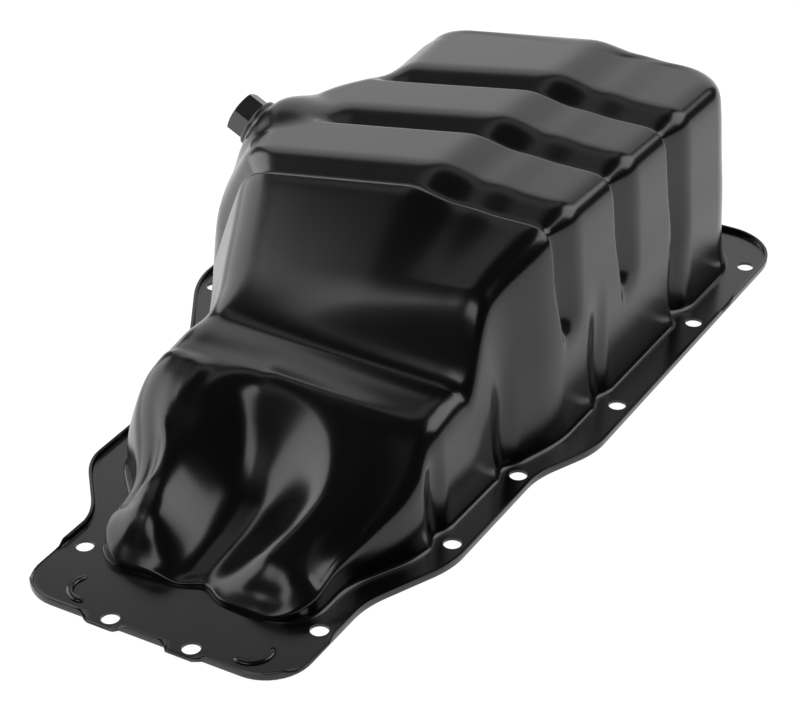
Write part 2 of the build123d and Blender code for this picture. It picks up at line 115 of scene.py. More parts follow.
# edges sharper than these angles stay sharp
SHEET_SMOOTH, TURNED_SMOOTH = math.radians(38), math.radians(32)
CENTRE = np.array([(FRONT_EDGE_X - TAB_PROUD + REAR_EDGE_X) / 2,
                   (LEFT_EDGE_Y - RIGHT_EDGE_Y) / 2, 0.0])

# lines along the pan: (x, distance from the middle, half length of the bend)
RIGHT_RAIL = ((FRONT_EDGE_X, 58.4, 0), (-156, 58.4, 8), (-121, 74.5, 8), (-55, 74.5, 8),
              (-29, RIGHT_EDGE_Y, 8), (REAR_EDGE_X, RIGHT_EDGE_Y, 0))
LEFT_RAIL = ((FRONT_EDGE_X, 59.4, 0), (-160, 59.4, 8), (-132, 82.5, 8), (-72, 82.5, 8),
             (-34, 101.5, 8), (4, LEFT_EDGE_Y, 12), (64, LEFT_EDGE_Y, 10),
             (92, 101.5, 10), (REAR_EDGE_X, 101.5, 0))
RIGHT_WALL = ((-200, 46.5, 0), (-150, 46.5, 8), (-122, 61.0, 8), (-56, 62.0, 8),
              (-30, 71.0, 8), (200, 73.0, 0))
LEFT_WALL = ((-200, 46.5, 0), (-150, 46.5, 8), (-124, 70.5, 8), (-70, 70.5, 8),
             (-38, 88.0, 8), (0, 111.5, 10), (60, 111.5, 10), (84, 88.0, 10), (200, 88.0, 0))


def soft(d, h):
    # zero before a bend, d after it, and a parabola over the h either side
    h = max(h, 1e-6)
    return np.where(d <= -h, 0.0, np.where(d >= h, d, (d + h) ** 2 / (4 * h)))


def bent(x, points):
    # height at x of a line through points (x, height, half length of bend)
    slope = (points[1][1] - points[0][1]) / (points[1][0] - points[0][0])
    value = points[0][1] + slope * (x - points[0][0])
    for here, ahead in zip(points[1:], points[2:]):
        new = (ahead[1] - here[1]) / (ahead[0] - here[0])
        value = value + (new - slope) * soft(x - here[0], here[2])
        slope = new
    return value


def ramp(x, start, end):
    # eases from 0 to 1 between start and end
    t = np.clip((x - start) / (end - start), 0.0, 1.0)
    return t * t * (3 - 2 * t)


# ------------------------------------------------- shape of the drawn sheet
# the nose: (distance in front of x = 0, place or height, half length of the bend)
RIGHT_RIM_Y = ((90, -22, 0), (104, -23, 4), (120, -32, 6), (134, -38, 8), (148, -35, 8),
               (164, -31, 6), (190, -29, 0))
RIGHT_RIM_Z = ((90, 49, 0), (107, 49, 5), (133, 31, 8), (146, 24.5, 8), (160, 20, 6),
               (170, 16, 5), (178, 4, 4), (190, 1.2, 0))
RIGHT_EDGE_Z = ((90, 49, 0), (104, 47, 6), (120, 31, 7), (146, 14, 8), (168, 9, 6), (178, 3, 4),
                (190, 2, 0))
LEFT_RIM_Y = ((90, 34, 0), (110, 34, 4), (124, 37, 6), (138, 40, 8), (150, 37, 8),
              (164, 31, 6), (190, 28, 0))
LEFT_RIM_Z = ((90, 49, 0), (112, 49, 8), (124, 44, 6), (138, 33, 8), (150, 26, 7),
              (162, 22.5, 6), (171, 18, 5), (179, 4, 4), (190, 1.2, 0))
LEFT_EDGE_Z = ((90, 49, 0), (112, 47, 5), (136, 31, 6), (148, 20, 5), (160, 13, 4),
               (170, 10, 4), (178, 3, 4), (190, 2, 0))
NOSE_WALL_Y = ((90, 58, 0), (120, 58, 8), (150, 45, 8), (190, 44, 0))
VALLEY_Z = ((90, 49, 0), (108, 49, 4), (129, 16, 11), (150, 8, 8), (177, 1.2, 5),
            (190, 1.2, 0))
VALLEY_Y = ((90, 17, 0), (103, 15, 5), (127, 4, 10), (150, 2, 8), (176, 4, 5), (190, 4, 0))
NOSE_RAISE = 1.2                        # the finished nose lies this much higher
BOWL_START, BOWL_END = 0.08, 0.92       # its steep part, as shares of valley to rim
RIDGE_BLEND, VALLEY_BLEND = 7.0, 4      # rounding of the rims and of the valley

# the left shoulder along x: how far in it leans, how far it falls, its radius
LEFT_SHOULDER_IN = ((-200, 0.0, 0), (-166, 0.0, 6), (-140, 3.0, 8), (-118, 8.0, 8),
                    (-84, 5.0, 8), (-45, 12.0, 8), (-20, 17.0, 6), (18, 16.0, 6),
                    (56, 16.0, 6), (90, 11.0, 0), (200, 11.0, 0))
LEFT_SHOULDER_FALL = ((-200, 20.0, 0), (-140, 22.0, 8), (-84, 26.0, 8), (-34, 58.0, 6),
                      (8, 28.0, 6), (60, 28.0, 6), (84, 22.0, 0))
LEFT_SHOULDER_R = ((-200, 14.0, 0), (-84, 14.0, 8), (-40, 26.0, 6), (-5, 24.0, 6),
                   (20, 12.0, 6), (52, 12.0, 6), (80, 26.0, 8), (200, 26.0, 0))
RIGHT_SHOULDER_R, REAR_SHOULDER_R, LOW_SHOULDER_R = 24.0, 18.0, 11.0
RIGHT_SHOULDER_FALL, MOST_FALL = 0.45, 0.6   # as shares of the wall's height
TALL_WALL = 60.0                        # from this height on the radii are full
WALL_BEND_R = (14, 24)                  # bend below the shoulder, low and tall walls
SHOULDER_RUN = (10.0, 22.0)             # how far in its curve may run, nose and rest
REAR_START_X, REAR_END_X = 119, 143     # the sides' shoulders blend into the rear's


def lower_of(a, b, blend):
    # the lower of two heights, with the ridge between them rounded
    near = np.clip(0.5 + 0.5 * (b - a) / blend, 0, 1)
    return b + (a - b) * near - blend * near * (1 - near)


def nose_height(x, y):
    # scoop between two lobes: bowl inside the rims, slopes outside them
    floor = bent(-x, VALLEY_Z)
    middle = bent(-x, VALLEY_Y)
    heights = []
    for side, rim_y, rim_z, edge_z in ((-1, RIGHT_RIM_Y, RIGHT_RIM_Z, RIGHT_EDGE_Z),
                                       (1, LEFT_RIM_Y, LEFT_RIM_Z, LEFT_EDGE_Z)):
        rim = side * bent(-x, rim_y)
        top = np.maximum(bent(-x, rim_z), floor)
        t = side * (y - middle) / np.maximum(rim - side * middle, 4.0)
        rise = ramp(t, BOWL_START, BOWL_END) + 3.0 * soft(t - 1.0, 0.1)
        bowl = floor + (top - floor) * rise
        edge = bent(-x, edge_z)
        wall_y = np.maximum(bent(-x, NOSE_WALL_Y), rim + 8)
        outside = top + (edge - top) * (side * y - rim) / (wall_y - rim)
        heights.append(lower_of(bowl, outside, RIDGE_BLEND) + NOSE_RAISE)
    # the two sides blend into each other across the valley
    left = ramp(y - middle, -VALLEY_BLEND, VALLEY_BLEND)
    return heights[0] * (1 - left) + heights[1] * left


def top_height(x, y):
    # top of the sump, the slope in front of it, the ledge and the scooped nose
    crown = CROWN_FRONT_Z \
        + (CROWN_REAR_Z - CROWN_FRONT_Z) * (x - CROWN_FRONT_X) / CROWN_LENGTH
    # falls away to the left, and in a step and a smaller one to the right
    sump = crown - LEFT_FALL * soft(y - LEFT_FALL_Y, 5)
    for drop, start, end in RIGHT_STEPS:
        sump = sump - drop * ramp(-y, start, end)
    crest = CREST_Z - CREST_FALL * y
    ridge = bent(-x, ((0, sump, 0), (-SLOPE_TOP_X, sump, 6), (-CREST_X, crest, 6),
                      (-LEDGE_X, LEDGE_Z, 4), (200, LEDGE_Z, 0)))
    start, end = NOSE_BLEND_X
    near = ramp(-x, -start, -end)
    nose = NOSE_FLOOR + soft(nose_height(x, y) - NOSE_FLOOR, 1.5)
    return np.where(x > start, ridge, ridge + (nose - ridge) * near)


def groove_depth(x, y, z):
    # three stiffening grooves over the top that run part of the way down the walls
    deep = np.zeros_like(x)
    for start, low in zip(GROOVES_X, GROOVES_LOW_Z):
        # steep front side, flat floor and long rear side, narrower down the wall
        down = np.where(y < 0, 1 - ramp(z, low, GROOVES_HIGH_Z), 0.0)
        near = start + GROOVE_NARROWING * down
        u = (x - near) * GROOVE_WIDTH / (GROOVE_WIDTH + start - near)
        shape = bent(u, GROOVE_SECTION)
        right = ramp(z, low - 4, low + 8)
        if start == GROOVES_X[-1]:
            right = REAR_GROOVE_FOOT + (1 - REAR_GROOVE_FOOT) * right
        if start == GROOVES_X[0]:
            left = ramp(z, *LEFT_GROOVE_Z)
        else:
            left = 1 - ramp(y, *LEFT_GROOVE_Y)
        deep = deep + shape * np.where(y < 0, right, left)
    return deep


def flute_depth(x, z):
    # the walls step in round each rail bolt but the rearmost
    deep = np.zeros_like(x)
    for bolt in RAIL_BOLTS_X[:-1]:
        off = np.clip(np.abs(x - bolt) / FLUTE_HALF_WIDTH, 0, 1)
        fade = 1 - ramp(z, *FLUTE_TOP_Z)
        deep = deep + FLUTE_DEPTH * np.cos(off * math.pi / 2) ** 2 * fade
    return deep


def side_places():
    # x of the section lines: close where a groove begins, wider elsewhere
    places, x = [], NOSE_X + NOSE_CORNER_R
    last = REAR_WALL_X - REAR_WALL_CORNER_R
    wide, near, close = 2.2, 1.3, 0.7
    while x < last - 0.5:
        places.append(x)
        step = wide
        for start in GROOVES_X:
            if start - 3 < x < start + 8:
                step = close
            elif start + 8 <= x < start + 24:
                step = min(step, near)
        if any(abs(x - bolt) < 11 for bolt in RAIL_BOLTS_X):
            step = min(step, near)
        x += step
    places.append(last)
    return np.array(places)


def arc(centre, radius, start, end, count):
    # points on part of a circle, from one angle to the other in degrees
    a = np.radians(np.linspace(start, end, count))
    return np.stack([centre[0] + radius * np.cos(a), centre[1] + radius * np.sin(a)], 1)


def along(points, parts):
    # places at these parts of the length of a line of points
    run = np.concatenate([[0], np.cumsum(np.hypot(*np.diff(points, axis=0).T))])
    return np.stack([np.interp(parts * run[-1], run, points[:, k]) for k in (0, 1)], 1)


CORNER_STEPS, REAR_STEPS, NOSE_STEPS = 21, 45, 51
ARC_POINTS = 40


def shares(count):
    return np.linspace(0, 1, count + 1)[1:]


def round_end(before, corner_a, corner_b, after, radius, turn, straight):
    # one end of the pan: two corners of this radius and the straight between them
    first = np.concatenate([before, arc(corner_a, radius, turn, turn + 90, ARC_POINTS)])
    last = np.concatenate([arc(corner_b, radius, turn + 90, turn + 180, ARC_POINTS), after])
    middle = np.stack([first[-1], last[0]])
    return np.concatenate([along(first, shares(CORNER_STEPS)), along(middle, shares(straight)),
                           along(last, shares(CORNER_STEPS)[:-1])])


def way_in(turn, straight):
    # inward directions that go with round_end
    first = -arc((0, 0), 1, turn, turn + 90, CORNER_STEPS + 1)
    last = -arc((0, 0), 1, turn + 90, turn + 180, CORNER_STEPS + 1)
    middle = [-math.cos(math.radians(turn + 90)), 0.0]
    return np.concatenate([first[1:], np.repeat([middle], straight, 0), last[1:-1]])


def perimeter():
    # foot of the walls, way in from it, spine point and flange edge, all round
    xs = side_places()
    n = len(xs)
    right = np.stack([xs, -bent(xs, RIGHT_WALL)], 1)
    left = np.stack([xs, bent(xs, LEFT_WALL)], 1)[::-1]
    right_edge = np.stack([xs, -bent(xs, RIGHT_RAIL)], 1)
    left_edge = np.stack([xs, bent(xs, LEFT_RAIL)], 1)[::-1]
    none = np.zeros((0, 2))

    r, big = REAR_WALL_CORNER_R, REAR_CORNER_R
    x, edge_x = REAR_WALL_X - r, REAR_EDGE_X - big
    yr, yl = right[-1][1], left[0][1]
    er, el = right_edge[-1][1], left_edge[0][1]
    rear_foot = round_end(none, (x, yr + r), (x, yl - r), none, r, -90, REAR_STEPS)
    rear_edge = round_end([[x, er]], (edge_x, er + big), (edge_x, el - big), [[x, el]],
                          big, -90, REAR_STEPS)

    r, big = NOSE_CORNER_R, FRONT_CORNER_R
    x, edge_x = NOSE_X + r, FRONT_EDGE_X + big
    yl, yr = left[-1][1], right[0][1]
    el, er = left_edge[-1][1], right_edge[0][1]
    nose_foot = round_end(none, (x, yl - r), (x, yr + r), none, r, 90, NOSE_STEPS)
    nose_edge = round_end([[x, el]], (edge_x, el - big), (edge_x, er + big), [[x, er]],
                          big, 90, NOSE_STEPS)
    # the foot of the nose steps back between the lobes
    for depth, y, half in NOSE_DENTS:
        nose_foot[:, 0] += depth * np.exp(-((nose_foot[:, 1] - y) / half) ** 2)
    for y in TABS_Y:
        off = np.abs(nose_edge[:, 1] - y) - TAB_WIDTH / 2
        proud = TAB_PROUD * (1 - ramp(off, -0.8, 0.8))
        nose_edge[:, 0] -= np.where(nose_edge[:, 0] < -200, proud, 0)

    foot = np.concatenate([right, rear_foot, left, nose_foot])
    way = np.concatenate([np.repeat([[0.0, 1.0]], n, 0), way_in(-90, REAR_STEPS),
                          np.repeat([[0.0, -1.0]], n, 0), way_in(90, NOSE_STEPS)])
    edge = np.concatenate([right_edge, rear_edge, left_edge, nose_edge])
    spine = np.stack([np.clip(foot[:, 0], *SPINE_ENDS_X), np.full(len(foot), SPINE_Y)], 1)
    return foot, way, spine, edge


def corner_curve(before, corner, after, radius, steps):
    # rounds a corner between two straight runs, at every place round the pan
    a, b = before - corner, after - corner
    la, lb = np.linalg.norm(a, axis=1), np.linalg.norm(b, axis=1)
    cosine = np.clip((a * b).sum(1) / (la * lb), -1, 1)
    shorter = np.minimum(la, lb)
    cut = radius * np.tan((math.pi - np.arccos(cosine)) / 2)
    cut = np.clip(cut, 0.25 * shorter, 0.48 * shorter)
    t = np.linspace(0, 1, steps + 1)[None, :, None]
    return corner[:, None] + (a * (cut / la)[:, None])[:, None] * (1 - t) ** 2 \
        + (b * (cut / lb)[:, None])[:, None] * t ** 2


def smooth_line(knots, marks):
    # natural cubic through the knots of every line, read at these marks
    gap = np.maximum(np.linalg.norm(np.diff(knots, axis=1), axis=2), 1e-4)
    n = knots.shape[1]
    slope = np.diff(knots, axis=1) / gap[:, :, None]
    curve = np.zeros_like(knots)
    upper = np.zeros((len(knots), n))
    for i in range(1, n - 1):
        right = 6 * (slope[:, i] - slope[:, i - 1])
        main = 2 * (gap[:, i - 1] + gap[:, i]) - gap[:, i - 1] * upper[:, i - 1]
        upper[:, i] = gap[:, i] / main
        curve[:, i] = (right - gap[:, i - 1, None] * curve[:, i - 1]) / main[:, None]
    for i in range(n - 2, 0, -1):
        curve[:, i] -= upper[:, i, None] * curve[:, i + 1]
    points = []
    for mark in marks:
        i = min(int(mark), n - 2)
        t = mark - i
        h = gap[:, i, None]
        a, b = 1 - t, t
        points.append(a * knots[:, i] + b * knots[:, i + 1]
                      + ((a ** 3 - a) * curve[:, i] + (b ** 3 - b) * curve[:, i + 1]) * h * h / 6)
    return np.stack(points, 1)


# foot fillet as shares of its radius (out, up), places of the last knots on the
# top, and how many steps lie between each knot and the next
ROOT_ARC = ((1.0, 0.0), (0.62, 0.076), (0.29, 0.29), (0.076, 0.62), (0.0, 1.0))
TOP_KNOTS = (4.0, 8.0, 13.0)
KNOT_STEPS = (2, 2, 2, 2, 7, 4, 4, 5, 3, 3, 3, 3, 3, 3, 3)
TOP_STEPS, FLANGE_STEPS = 24, 18


def drawn_surface(foot, way, spine):
    # rings of points from the root of the wall over the top to the spine
    x = foot[:, 0]
    left_side = ramp(foot[:, 1], -20, 20) * ramp(-x, -REAR_END_X, -REAR_START_X)

    # each line leaves the wall square to it, then turns towards the spine
    toward = unit(spine - (foot + way * TURN_IN))

    def place(d):
        past = soft(d - TURN_IN, TURN_BLEND)
        return foot + way * (d - past)[:, None] + toward * past[:, None]

    def top(d):
        p = place(d)
        return np.maximum(top_height(p[:, 0], p[:, 1]), LOWEST_TOP)

    # where wall and top would meet, found in a few rounds
    shoulder_in = left_side * bent(x, LEFT_SHOULDER_IN)
    z = top(np.full(len(x), 6.0))
    for _ in range(6):
        edge_d = z * LEAN + shoulder_in
        z = top(edge_d)
    fall = left_side * bent(x, LEFT_SHOULDER_FALL) + (1 - left_side) * RIGHT_SHOULDER_FALL * z
    bend_z = z - np.minimum(fall, MOST_FALL * z)
    tall = np.clip(z / TALL_WALL, 0, 1)
    side_r = left_side * bent(x, LEFT_SHOULDER_R) + (1 - left_side) * RIGHT_SHOULDER_R
    side_r = side_r + (REAR_SHOULDER_R - side_r) * ramp(x, REAR_START_X, REAR_END_X)
    edge_r = LOW_SHOULDER_R + (side_r - LOW_SHOULDER_R) * tall
    bend_r = WALL_BEND_R[0] + (WALL_BEND_R[1] - WALL_BEND_R[0]) * tall

    # section lines as (distance in, height): foot, bend, shoulder's edge, top
    start = np.zeros((len(x), 2))
    bend = np.stack([bend_z * LEAN, bend_z], 1)
    edge = np.stack([edge_d, z], 1)
    inner_d = edge_d + np.where(x < NOSE_X + NOSE_CORNER_R, *SHOULDER_RUN)
    inner = np.stack([inner_d, top(inner_d)], 1)
    low = corner_curve(start, bend, edge, bend_r, 2)
    high = corner_curve(bend, edge, inner, edge_r, 5)
    lean = low[:, 0, 0] / low[:, 0, 1]
    root = np.clip(0.7 * (low[:, 0, 1] - SHEET), 0.15, ROOT_R)  # less on a low wall
    knots = []
    for out, up in ROOT_ARC:
        height = SHEET + root * up
        knots.append(np.stack([lean * height - root * out, height], 1))
    knots = np.concatenate([np.stack(knots, 1), low, high], 1)
    # a few places further in, on the top itself
    last = knots[:, -1, 0]
    more = [np.stack([last + step, top(last + step)], 1) for step in TOP_KNOTS]
    knots = np.concatenate([knots, np.stack(more, 1)], 1)
    marks = [i + k / s for i, s in enumerate(KNOT_STEPS) for k in range(s)]
    marks.append(len(KNOT_STEPS))
    line = smooth_line(knots, marks)

    # the lines laid out round the pan, then straight over the top to the spine
    past = soft(line[:, :, :1] - TURN_IN, TURN_BLEND)
    flat = foot[:, None] + way[:, None] * (line[:, :, :1] - past) + toward[:, None] * past
    points = np.concatenate([flat, line[:, :, 1:]], 2)
    begin = points[:, -1, :2]
    rest = []
    for k in range(1, TOP_STEPS + 1):
        p = begin + (spine - begin) * (k / TOP_STEPS)
        height = np.maximum(top_height(p[:, 0], p[:, 1]), SHEET)
        rest.append(np.concatenate([p, height[:, None]], 1))
    return np.concatenate([points, np.stack(rest, 1)], 1)


def unit(vectors, least=1e-6):
    # vectors of length one
    return vectors / np.maximum(np.linalg.norm(vectors, axis=-1, keepdims=True), least)


def surface_normals(points):
    # outward normals of a grid of points that closes on itself round the pan
    du = np.roll(points, -1, 0) - np.roll(points, 1, 0)
    dv = np.gradient(points, axis=1)
    return unit(np.cross(du, dv), 1e-9)


def press_features(points, way, spine):
    # grooves and flutes are pressed into the plain drawn shape
    normal = surface_normals(points)
    x, y, z = points[..., 0], points[..., 1], points[..., 2]
    deep = groove_depth(x, y, z)
    # groove lines keep to sections across the pan, so nothing slides along x
    across = normal.copy()
    across[..., 0] = 0
    across = unit(across)
    across[..., 2] *= ramp(z, 3, 14)
    points = points - across * deep[..., None]
    wall = ramp(1 - np.abs(normal[..., 2]), 0.15, 0.5)
    step = flute_depth(x, z) * np.where(z < 4.5, 1.0, wall)
    points[..., :2] += way[:, None] * step[..., None]
    # both sides end on the same line along the middle
    x, y = spine[:, 0], spine[:, 1]
    z = top_height(x, y) - groove_depth(x, y, np.full(len(x), 90.0))
    points[:, -1] = np.stack([x, y, z], 1)
    # flat land for the washer, square to the plug
    axis = np.array(PLUG_AXIS)
    rel = points - np.array(PLUG)
    height = rel @ axis
    radius = np.linalg.norm(rel - height[..., None] * axis, axis=2)
    share = 1 - ramp(radius, SEAT_R - 1.5, SEAT_R + SEAT_BLEND)
    share = share * (np.abs(height) < SEAT_REACH)
    return points - axis * (height * share)[..., None]


def flange_rings(foot_line, edge):
    # from the foot of the wall out over the flange and round its lip
    lip = np.full(len(edge), LIP_HEIGHT - SHEET)
    x, y = edge[:, 0], edge[:, 1]
    for tab in TABS_Y:
        off = np.abs(y - tab) - TAB_WIDTH / 2
        lip = lip * np.where(x < -200, ramp(off, 0.2, 3.0), 1)
    middle, half = LIP_GAP_FRONT
    lip = lip * ramp(np.abs(x - middle) - half, -LIP_FADE, LIP_FADE)
    middle, half = LIP_GAP_RIGHT
    low = 0.35 + 0.65 * ramp(np.abs(x - middle) - half, -LIP_FADE, LIP_FADE)
    lip = lip * np.where(y < 0, low, 1)
    tangent = unit(np.roll(edge, -1, 0) - np.roll(edge, 1, 0))
    inward = np.stack([-tangent[:, 1], tangent[:, 0]], 1)
    rings = []
    for step, z, share in LIP_SECTION:
        height = z + share * lip
        rings.append(np.concatenate([edge + inward * step, height[:, None]], 1))
    rim = rings[-1]
    flat = [rim + (foot_line - rim) * (k / FLANGE_STEPS) for k in range(1, FLANGE_STEPS)]
    return rings + flat


def pan_sheet():
    # outer face, flange and inner face as one closed skin of the sheet's thickness
    foot, way, spine, edge = perimeter()
    points = press_features(drawn_surface(foot, way, spine), way, spine)
    rings = flange_rings(points[:, 0], edge)
    outer = np.concatenate([np.stack(rings, 1), points], 1)
    normal = surface_normals(points)
    normal[:, 0] = (0, 0, 1)
    x, y = spine[:, 0], spine[:, 1]
    rise = (top_height(x + 0.2, y) - top_height(x - 0.2, y)) / 0.4
    normal[:, -1] = np.stack([0 * x, 0 * x, np.sqrt(1 + rise ** 2)], 1)
    # the inner face needs only every second ring, and the last
    last = points.shape[1] - 1
    pick = [*range(0, last, 2), last]
    inner = (points - normal * SHEET)[:, pick]
    inner[:, 0, 2] = 0.0
    inner[..., 2] = np.maximum(inner[..., 2], 0.0)
    grid = np.concatenate([inner[:, ::-1], outer], 1)
    n, m = grid.shape[:2]
    verts = grid.reshape(-1, 3)
    i, j = np.meshgrid(np.arange(n), np.arange(m - 1), indexing="ij")
    ahead = (i + 1) % n
    faces = np.stack([i * m + j, ahead * m + j, ahead * m + j + 1, i * m + j + 1], -1)
    faces = faces.reshape(-1, 4)
    mesh = bpy.data.meshes.new("pan_sheet")
    mesh.from_pydata(((verts - CENTRE) / 1000).tolist(), [], faces.tolist())
    sheet = bpy.data.objects.new("pan_sheet", mesh)
    bpy.context.scene.collection.objects.link(sheet)
    work = bmesh.new()
    work.from_mesh(mesh)
    bmesh.ops.remove_doubles(work, verts=work.verts, dist=2e-6)
    bmesh.ops.dissolve_degenerate(work, edges=work.edges, dist=1e-6)
    bmesh.ops.recalc_face_normals(work, faces=work.faces)
    work.to_mesh(mesh)
    work.free()
    return sheet


def only(obj):
    # the operators act on this object alone
    bpy.ops.object.select_all(action="DESELECT")
    obj.select_set(True)
    bpy.context.view_layer.objects.active = obj


def cutter(place, axis, radius, depth, name):
    # rod that a hole is cut with
    bpy.ops.object.select_all(action="DESELECT")
    turn = Vector(axis).to_track_quat("Z", "Y").to_euler()
    where = (Vector(place) - Vector(CENTRE)) / 1000
    bpy.ops.mesh.primitive_cylinder_add(vertices=HOLE_SIDES, radius=radius / 1000,
                                        depth=depth / 1000, location=where, rotation=turn)
    rod = bpy.context.active_object
    rod.name = name
    bpy.ops.object.transform_apply(location=True, rotation=True, scale=True)
    return rod


def bolt_places():
    # x and y of the holes: the end bolts, then those along both rails
    pairs = list(END_BOLTS)
    for x in RAIL_BOLTS_X:
        pairs.append((x, float(bent(np.float64(x), LEFT_RAIL)) - RAIL_BOLT_IN))
        pairs.append((x, -(float(bent(np.float64(x), RIGHT_RAIL)) - RAIL_BOLT_IN)))
    return pairs


def cut_holes(sheet):
    # bolt holes and the drain hole, cut in one go
    rods = [cutter((x, y, 0), (0, 0, 1), BOLT_HOLE_R, BOLT_CUT_L, "bolt_cut")
            for x, y in bolt_places()]
    rods.append(cutter(PLUG, PLUG_AXIS, THREAD_R + HOLE_CLEARANCE, DRAIN_CUT_L, "drain_cut"))
    bpy.ops.object.select_all(action="DESELECT")
    for rod in rods:
        rod.select_set(True)
    bpy.context.view_layer.objects.active = rods[0]
    bpy.ops.object.join()
    cut = sheet.modifiers.new("holes", "BOOLEAN")
    cut.operation, cut.solver, cut.object = "DIFFERENCE", "EXACT", rods[0]
    only(sheet)
    bpy.ops.object.modifier_apply(modifier="holes")
    bpy.data.objects.remove(rods[0])


def bead(x, y, start, end, name):
    # half-round bead pressed up in the flange, along part of a circle round x, y
    line = bpy.data.curves.new(name, "CURVE")
    line.dimensions = "3D"
    line.bevel_depth = BEAD_R / 1000
    line.bevel_resolution = 5
    line.use_fill_caps = True
    count, tapered = 28, 5
    spline = line.splines.new("POLY")
    spline.points.add(count - 1)
    for i, point in enumerate(spline.points):
        a = math.radians(start + (end - start) * i / (count - 1))
        place = Vector((x + BEAD_ARC_R * math.cos(a), y + BEAD_ARC_R * math.sin(a), BEAD_Z))
        point.co = (*((place - Vector(CENTRE)) / 1000), 1)
        near = min(i, count - 1 - i) / tapered
        point.radius = math.sqrt(max(1 - (1 - min(near, 1)) ** 2, 0.04))
    obj = bpy.data.objects.new(name, line)
    bpy.context.scene.collection.objects.link(obj)
    only(obj)
    bpy.ops.object.convert(target="MESH")
    bpy.ops.object.mode_set(mode="EDIT")
    bpy.ops.mesh.select_all(action="SELECT")
    bpy.ops.mesh.remove_doubles(threshold=0.000001)
    bpy.ops.mesh.normals_make_consistent(inside=False)
    bpy.ops.transform.resize(value=(1, 1, BEAD_FLATNESS),
                             center_override=(0, 0, BEAD_Z / 1000))
    bpy.ops.object.mode_set(mode="OBJECT")
    return bpy.context.active_object


def press_beads(sheet):
    # both crescent beads become one with the flange
    for place in BEAD_PLACES:
        piece = bead(*place, "bead")
        join = sheet.modifiers.new("bead", "BOOLEAN")
        join.operation, join.solver, join.object = "UNION", "EXACT", piece
        only(sheet)
        bpy.ops.object.modifier_apply(modifier="bead")
        bpy.data.objects.remove(piece)


def turned(profile, cut=None):
    # rings about the plug's axis from (radius, height) points; cut changes a
    # point by its radius, height and angle
    sides = TURNED_SIDES
    turn = Vector(PLUG_AXIS).to_track_quat("Z", "Y").to_matrix()
    place = (Vector(PLUG) - Vector(CENTRE)) / 1000
    verts, faces = [], []
    for k, (radius, height) in enumerate(profile):
        for i in range(sides):
            a = 2 * math.pi * i / sides
            r, z = cut(radius, height, a) if cut else (radius, height)
            point = Vector((r * math.cos(a), r * math.sin(a), z)) / 1000
            verts.append(tuple(turn @ point + place))
            if k:
                j, m = (i + 1) % sides, (k - 1) * sides
                faces.append((m + i, m + j, m + sides + j, m + sides + i))
    return verts, faces


def closed_solid(verts, faces, name, ring=False):
    # closes the turned rings: a ring back to its start, a rod with two end faces
    sides = TURNED_SIDES
    last = len(verts) - sides
    if ring:
        faces = faces + [(last + i, last + (i + 1) % sides, (i + 1) % sides, i)
                         for i in range(sides)]
    else:
        faces = faces + [tuple(range(sides))[::-1], tuple(range(last, last + sides))]
    mesh = bpy.data.meshes.new(name)
    mesh.from_pydata(verts, [], faces)
    obj = bpy.data.objects.new(name, mesh)
    bpy.context.scene.collection.objects.link(obj)
    only(obj)
    bpy.ops.object.mode_set(mode="EDIT")
    bpy.ops.mesh.select_all(action="SELECT")
    bpy.ops.mesh.normals_make_consistent(inside=False)
    bpy.ops.object.mode_set(mode="OBJECT")
    bpy.ops.object.shade_smooth_by_angle(angle=TURNED_SMOOTH)
    return obj


def drain_plug():
    # hexagon with a turned chamfer, collar, and a shank with its thread
    flat = HEX_FLATS / 2
    face = WASHER_T + COLLAR_T
    top = face + HEX_H
    blank_r, end_r = HEX_FLATS * 0.6, THREAD_R - 1.0

    def cut(radius, height, a):
        if height > face - 0.01 and radius > HEX_FLATS * 0.4:
            hexagon = flat / math.cos((a + math.pi / 6) % (math.pi / 3) - math.pi / 6)
            chamfer = flat * 1.02 + (top - height) * 1.7
            return min(hexagon, chamfer, radius), height
        if -SHANK_L + 1.5 < height < -0.5 and radius > THREAD_R - 0.2:
            turn = (height / PITCH - a / (2 * math.pi)) % 1.0
            return THREAD_R - THREAD_DEPTH * abs(2 * turn - 1), height
        return radius, height

    steps = int((SHANK_L - 3) / PITCH * 10)
    threaded = [(THREAD_R, -SHANK_L + 1.6 + (SHANK_L - 3.2) * k / steps)
                for k in range(steps + 1)]
    profile = [(THREAD_R - 1.9, -SHANK_L), (end_r, -SHANK_L + 0.9), *threaded,
               (end_r, -1.2), (end_r, WASHER_T), (COLLAR_R - 0.3, WASHER_T),
               (COLLAR_R, WASHER_T + 0.3), (COLLAR_R, face - 0.9),
               (COLLAR_R - 0.5, face - 0.35), (blank_r, face),
               *[(blank_r, top - 1.6 + 0.2 * k) for k in range(8)],
               (HEX_FLATS * 0.49, top), (HEX_FLATS * 0.36, top), (HEX_FLATS * 0.34, top - 0.5)]
    return closed_solid(*turned(profile, cut), "drain_plug_cut")


def crush_washer():
    # flat ring with rounded edges
    inner, outer, r = THREAD_R + HOLE_CLEARANCE, WASHER_R, 0.35
    profile = [(inner + r, 0.0), (outer - r, 0.0), (outer, r), (outer, WASHER_T - r),
               (outer - r, WASHER_T), (inner + r, WASHER_T), (inner, WASHER_T - r), (inner, r)]
    return closed_solid(*turned(profile), "drain_washer_pressed", ring=True)


# ----------------------------------------------------------------- materials
def linear(code):
    # sRGB hex to the linear colour the shaders take
    parts = [int(code[i:i + 2], 16) / 255 for i in (1, 3, 5)]
    return [c / 12.92 if c <= 0.04045 else ((c + 0.055) / 1.055) ** 2.4 for c in parts] + [1.0]


def add_node(tree, kind, links=(), **settings):
    # adds a node, sets its properties and inputs, and links (output, input) pairs
    node = tree.nodes.new(kind)
    for key, value in settings.items():
        if hasattr(node, key):
            setattr(node, key, value)
        else:
            node.inputs[key.replace("_", " ")].default_value = value
    for source, target in links:
        tree.links.new(source, node.inputs[target])
    return node


